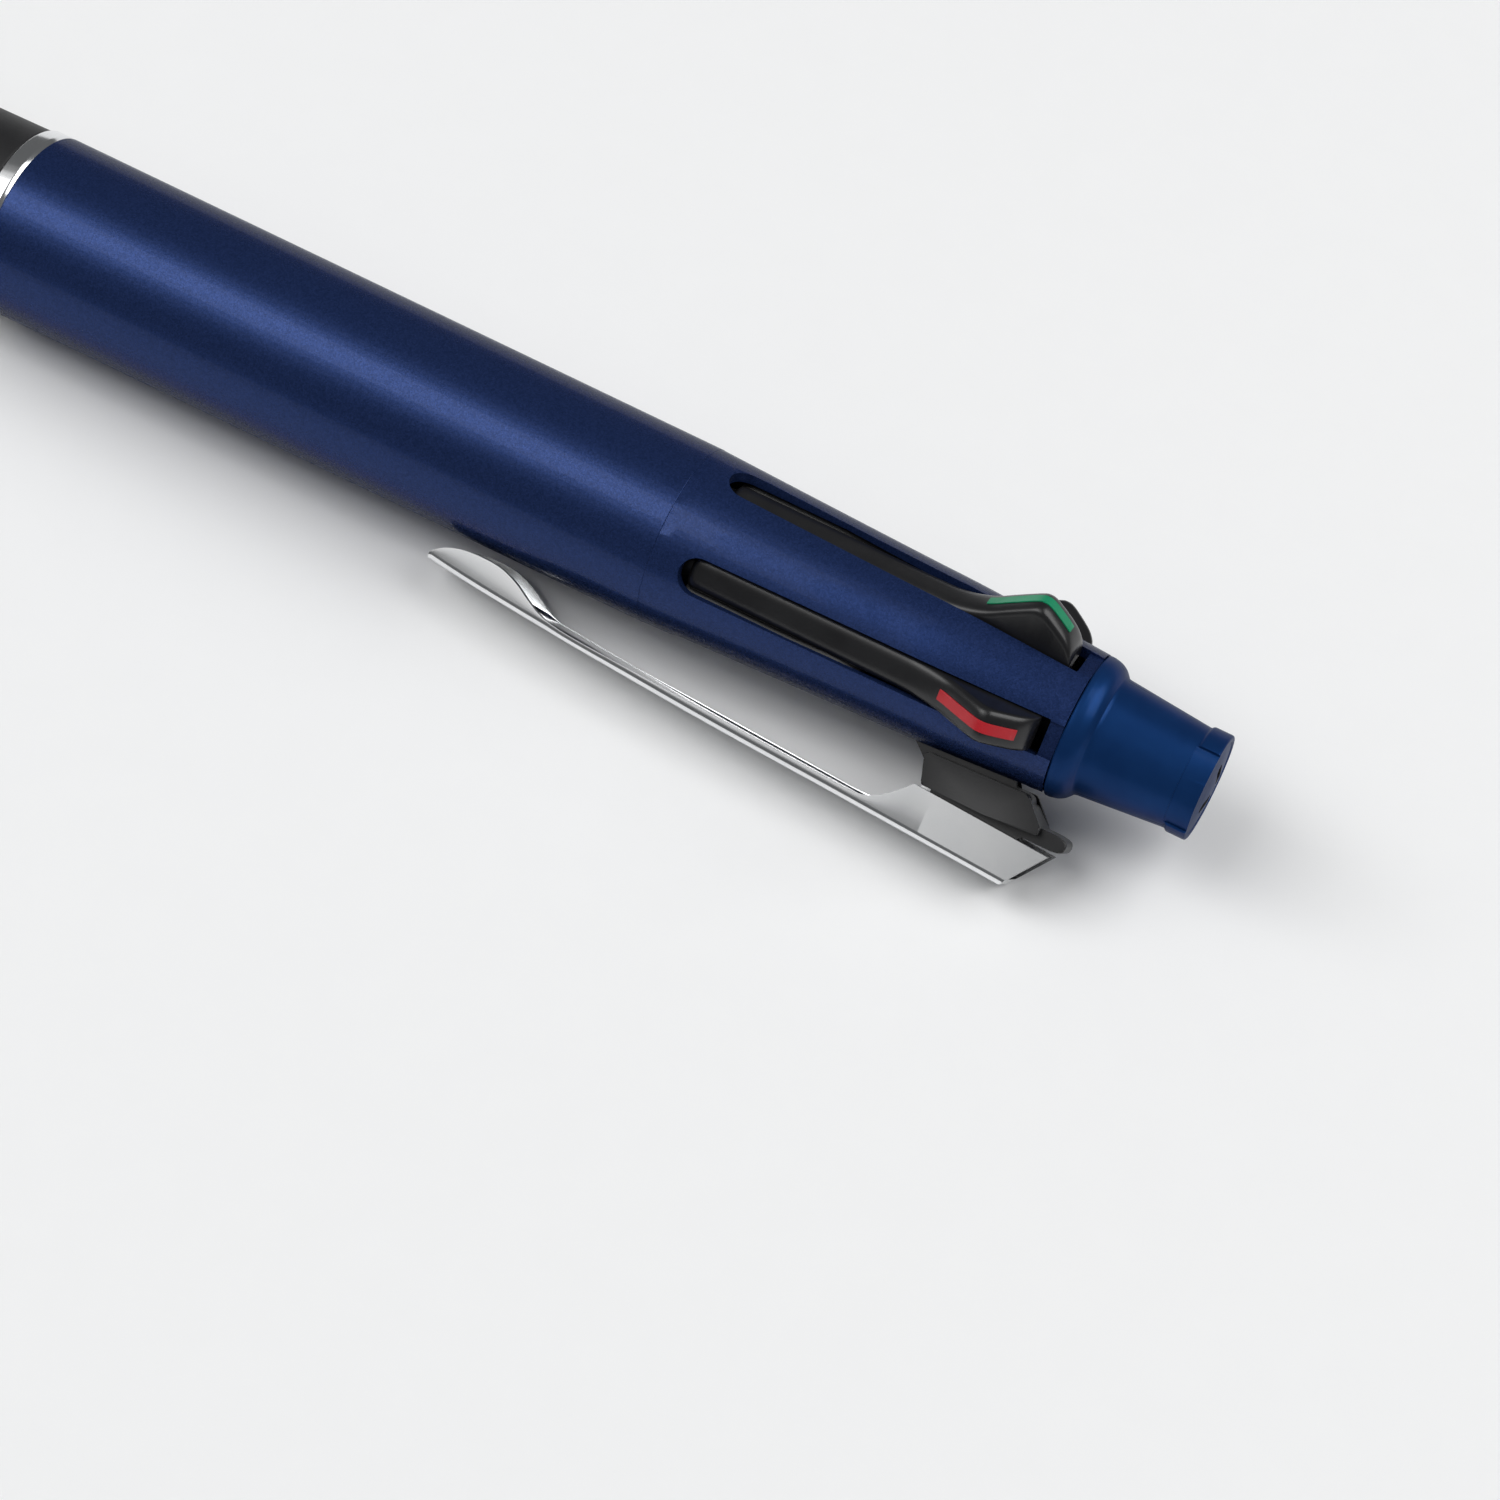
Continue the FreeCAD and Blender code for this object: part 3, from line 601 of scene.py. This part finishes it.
def build_carrier():
    """Fifth lever: stem, neck and the black block that holds the clip."""
    body = "pencil_lever"
    level = [Vector((x, STEM_TOP)) for x in (112.5, 118.0, 123.5, 126.0, 130.0, 137.4)]
    make("stem_pencil", skin(lever_loops(level, 138.0)), body, "lever_black", "clip_carrier",
         crease=50)
    neck = eased([(127.8, 4.0), (127.8, 5.4), (130.4, 5.6), (131.9, 6.9), (139.8, 6.9),
                  (139.3, 5.65), (137.7, 5.6), (137.6, 4.0)], 0.4)
    make("carrier_neck", plate(neck, 2.5, 0.2), body, "lever_black", None)
    block = eased([(131.6, 6.35), (132.2, 8.1), (137.0, 8.1), (140.9, 7.8), (140.9, 7.3),
                   (139.6, 6.15)], 0.2)
    even_normals(make("carrier_block", plate(block, 4.7, 0.16), body, "lever_black", None))
    cheek = eased([(131.55, 5.95), (132.2, 8.15), (137.0, 8.15), (140.95, 7.85), (140.9, 7.3),
                   (139.2, 5.62)], 0.2)
    for side_name, side in (("near", 1), ("far", -1)):
        even_normals(make("carrier_cheek_" + side_name,
                          plate(cheek, 0.5, 0.12, middle=side * 2.15), body, "lever_black", None))
    tongue = eased([(132.8, 7.0), (133.0, 10.2), (138.9, 10.2), (139.4, 8.45), (142.1, 8.45),
                    (142.95, 8.3), (142.95, 7.45), (142.1, 7.3), (140.4, 7.3),
                    (140.3, 7.0)], 0.4, 6)
    even_normals(make("carrier_tail", plate(tongue, 3.2, 0.3), body, "lever_black", None))
    build_socket("socket_pencil", body, 0)


# ---------------------------------------------------------------- springs
def build_spring(number, name):
    """Wire coil that leans with its refill."""
    turns, steps, radius, wire, wire_sides = 12, 28, 1.6, 0.11, 8
    start, end, rear_gap, length_gap = 80.2, 103.85, 0.2, 0.3
    wire_angles = [2 * math.pi * j / wire_sides for j in range(wire_sides)]
    loops = []
    for k in range(turns * steps + 1):
        a = 2 * math.pi * k / steps
        share = k / (turns * steps)
        centre = Vector((start + (end - start) * share, radius * math.sin(a),
                         radius * math.cos(a)))
        outward = Vector((0, math.sin(a), math.cos(a)))
        loops.append([tuple(centre + outward * wire * math.cos(b)
                            + Vector((wire, 0, 0)) * math.sin(b)) for b in wire_angles])
    body = "pencil" if name == "pencil" else "refill_" + name
    piece = make("coil_" + name, skin(loops), body, "spring_steel", "spring_" + name,
                 number, lift=REFILL_OFFSET, crease=60)
    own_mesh(piece)


# ---------------------------------------------------------------- stage, light and camera
PANEL_DISTANCE = 0.8


def build_floor():
    mesh = bpy.data.meshes.new("floor")
    bm = bmesh.new()
    bmesh.ops.create_grid(bm, x_segments=2, y_segments=2, size=3.0)
    bm.to_mesh(mesh)
    bm.free()
    floor = bpy.data.objects.new("floor", mesh)
    bpy.context.scene.collection.objects.link(floor)
    mesh.materials.append(moulded("paper", (0.915, 0.918, 0.92), (0.92, 0.923, 0.925), 0.6,
                                  grain=1800, relief=0.05))


def softbox(name, elevation, azimuth, size, radiance, shift=0.0, distance=PANEL_DISTANCE):
    """Area light aimed like a panel over the pen. Azimuth 0 is the -Y side."""
    light = bpy.data.lights.new(name, "AREA")
    light.shape = "RECTANGLE"
    light.size, light.size_y = size
    light.energy = radiance * math.pi * size[0] * size[1]
    up, turn = math.radians(elevation), math.radians(azimuth)
    direction = Vector((math.sin(turn) * math.cos(up), -math.cos(turn) * math.cos(up),
                        math.sin(up)))
    lamp = bpy.data.objects.new(name, light)
    lamp.location = direction * distance + Vector((shift, 0, 0))
    lamp.rotation_euler = direction.to_track_quat("Z", "Y").to_euler()
    bpy.context.scene.collection.objects.link(lamp)


def light_scene():
    """Long panel over the barrel with edges that fade, a side box past the cap, dim room."""
    world = bpy.data.worlds.new("studio")
    world.use_nodes = True
    background = world.node_tree.nodes["Background"]
    background.inputs["Color"].default_value = (0.95, 0.975, 1.0, 1)
    background.inputs["Strength"].default_value = 0.12
    bpy.context.scene.world = world
    left_end = -1.3
    layers = ((75, 12, -0.10, 3.4), (75, 19, -0.075, 1.5), (75, 27, -0.13, 0.45),
              (75, 29, -0.061, 0.42), (76, 38, 0.01, 0.1))
    for k, (elevation, half_angle, right_end, radiance) in enumerate(layers):
        height = 2 * PANEL_DISTANCE * math.tan(math.radians(half_angle))
        softbox("panel_%d" % k, elevation, 0, (right_end - left_end, height), radiance,
                shift=(right_end + left_end) / 2)
    softbox("side", 50, 115, (0.7, 0.7), 3.3, distance=0.9)
    bpy.context.scene.view_settings.view_transform = "Standard"


def place_camera():
    """Camera set by the pen: 94 degrees round from the clip, nose turned away."""
    view_from_clip, toward, slope = (math.radians(a) for a in (94.3, 11.6, 26.06))
    aim_station, aim_below, distance = 120.2, 11.3, 0.281
    axis, across, outward = (PEN.to_3x3().col[i] for i in range(3))
    side = outward * math.cos(view_from_clip) + across * math.sin(view_from_clip)
    back = axis * math.sin(toward) + side * math.cos(toward)
    run = (axis - back * math.sin(toward)).normalized()
    rise = back.cross(run)
    right = run * math.cos(slope) + rise * math.sin(slope)
    up = rise * math.cos(slope) - run * math.sin(slope)
    centre = PEN_MM @ Vector((aim_station, 0, 0)) - rise * aim_below * MM
    data = bpy.data.cameras.new("camera")
    data.sensor_width = 36.0
    data.lens = 97.9
    data.clip_start, data.clip_end = 0.01, 20
    camera = bpy.data.objects.new("camera", data)
    turn = Matrix((right, up, back)).transposed().to_4x4()
    camera.matrix_world = Matrix.Translation(centre + back * distance) @ turn
    bpy.context.scene.collection.objects.link(camera)
    bpy.context.scene.camera = camera


# ---------------------------------------------------------------- the scene
finish_cad_nodes()
build_front()
build_main_barrel()
build_slotted_barrel()
build_cap()
for lever_number, lever_colour in enumerate(INK_COLOURS, start=1):
    build_lever(lever_number, lever_colour)
build_clip()
build_carrier()
for spring_number, spring_name in enumerate(("pencil",) + INK_COLOURS):
    build_spring(spring_number, spring_name)
build_floor()
light_scene()
place_camera()
